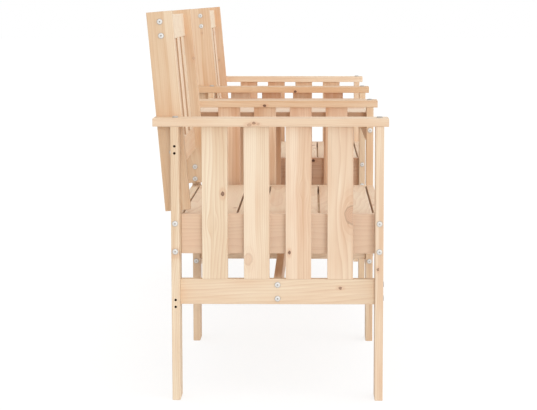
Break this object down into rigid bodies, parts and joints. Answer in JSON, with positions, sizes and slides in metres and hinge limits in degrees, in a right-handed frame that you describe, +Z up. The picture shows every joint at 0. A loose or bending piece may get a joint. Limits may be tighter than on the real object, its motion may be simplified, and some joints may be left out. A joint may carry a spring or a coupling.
{
  "type": "garden bench with table",
  "caption": "Slatted softwood garden bench with seats side by side, leaning slatted backs, arm frames, and a fixed boarded table between the seats.",
  "frame": {"origin": "on the floor below the middle of the bench", "axes": "+X along the bench from the pictured end, -Y towards the front, +Z up"},
  "size_m": [1.88, 0.566, 0.9139],
  "materials": {
    "pine_frame": "planed, untreated",
    "pine_slat": "planed, untreated",
    "pine_back": "planed, untreated",
    "pine_seat": "planed, untreated",
    "pine_table": "planed, untreated",
    "zinc": "bright zinc plate"
  },
  "bodies": {
    "root": {"arm_1": "pine_frame", "arm_2": "pine_frame", "arm_3": "pine_frame", "arm_4": "pine_frame", "arm_slats_1": "pine_slat", "arm_slats_2": "pine_slat", "arm_slats_3": "pine_slat", "arm_slats_4": "pine_slat", "back_a_low_rail": "pine_back", "back_a_slats": "pine_back", "back_a_stile_1": "pine_back", "back_a_stile_2": "pine_back", "back_a_top_rail": "pine_back", "back_b_low_rail": "pine_back", "back_b_slats": "pine_back", "back_b_stile_3": "pine_back", "back_b_stile_4": "pine_back", "back_b_top_rail": "pine_back", "lower_rail_1": "pine_frame", "lower_rail_2": "pine_frame", "lower_rail_3": "pine_frame", "lower_rail_4": "pine_frame", "post_1_front": "pine_frame", "post_1_rear": "pine_frame", "post_2_front": "pine_frame", "post_2_rear": "pine_frame", "post_3_front": "pine_frame", "post_3_rear": "pine_frame", "post_4_front": "pine_frame", "post_4_rear": "pine_frame", "seat_a_boards": "pine_seat", "seat_a_cleat_1": "pine_seat", "seat_a_cleat_2": "pine_seat", "seat_a_end_apron_1": "pine_seat", "seat_a_end_apron_2": "pine_seat", "seat_a_front_apron": "pine_seat", "seat_a_rear_apron": "pine_seat", "seat_a_stretcher": "pine_seat", "seat_b_boards": "pine_seat", "seat_b_cleat_3": "pine_seat", "seat_b_cleat_4": "pine_seat", "seat_b_end_apron_3": "pine_seat", "seat_b_end_apron_4": "pine_seat", "seat_b_front_apron": "pine_seat", "seat_b_rear_apron": "pine_seat", "seat_b_stretcher": "pine_seat", "stile_bolts": "zinc", "table_boards": "pine_table", "table_front_apron": "pine_table", "table_front_cleat": "pine_table", "table_front_stretcher": "pine_table", "table_rear_apron": "pine_table", "table_rear_cleat": "pine_table", "table_rear_stretcher": "pine_table"}
  },
  "joints": []
}
